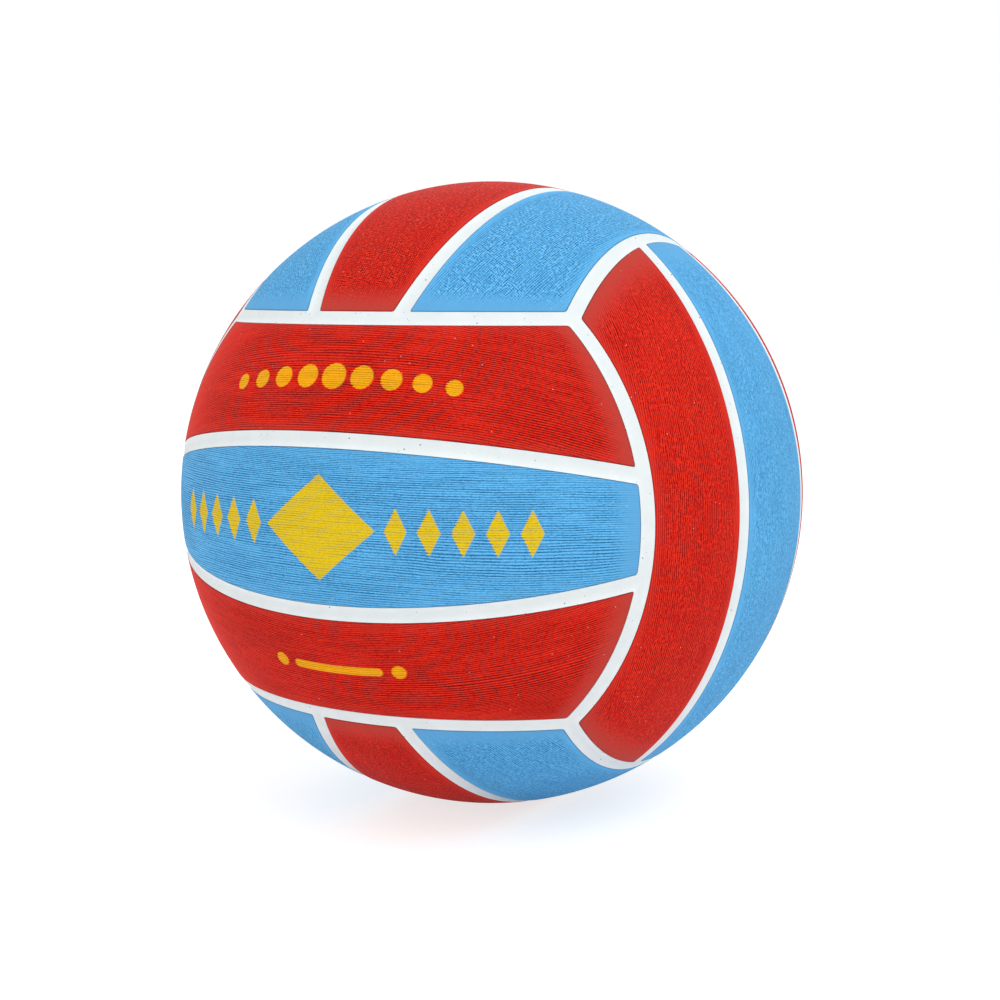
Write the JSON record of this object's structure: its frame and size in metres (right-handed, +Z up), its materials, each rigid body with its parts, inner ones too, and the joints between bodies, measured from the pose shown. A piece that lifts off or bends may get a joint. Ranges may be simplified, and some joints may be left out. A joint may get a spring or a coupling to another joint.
{
  "type": "water polo ball",
  "caption": "Water polo ball of coloured rubber strip panels with white channels between them, over a wound air bladder with a needle valve.",
  "frame": {"origin": "the ball's centre", "axes": "+Z up; -Y is the middle of the group of panels that the picture shows on the left, +X the middle of the group on its right, and +Y the valve's axis, pointing out of the ball"},
  "size_m": [0.22, 0.2199, 0.22],
  "materials": {
    "red_panel": "matte",
    "blue_panel": "matte",
    "white_rubber": "matte",
    "thread": "matte",
    "bladder_rubber": "matte",
    "valve_rubber": "satin",
    "core_rubber": "satin"
  },
  "bodies": {
    "root": {"front_lower_panel": "red_panel", "front_middle_panel": "blue_panel", "front_upper_panel": "red_panel", "back_upper_panel": "red_panel", "back_middle_panel": "blue_panel", "back_lower_panel": "red_panel", "right_front_panel": "red_panel", "right_middle_panel": "blue_panel", "right_back_panel": "red_panel", "left_front_panel": "red_panel", "left_middle_panel": "blue_panel", "left_back_panel": "red_panel", "top_right_panel": "blue_panel", "top_middle_panel": "red_panel", "top_left_panel": "blue_panel", "bottom_left_panel": "blue_panel", "bottom_middle_panel": "red_panel", "bottom_right_panel": "blue_panel", "channel_carcass": "white_rubber", "thread_winding": "thread", "bladder": "bladder_rubber", "valve_housing": "valve_rubber", "valve_core": "core_rubber"}
  },
  "joints": []
}
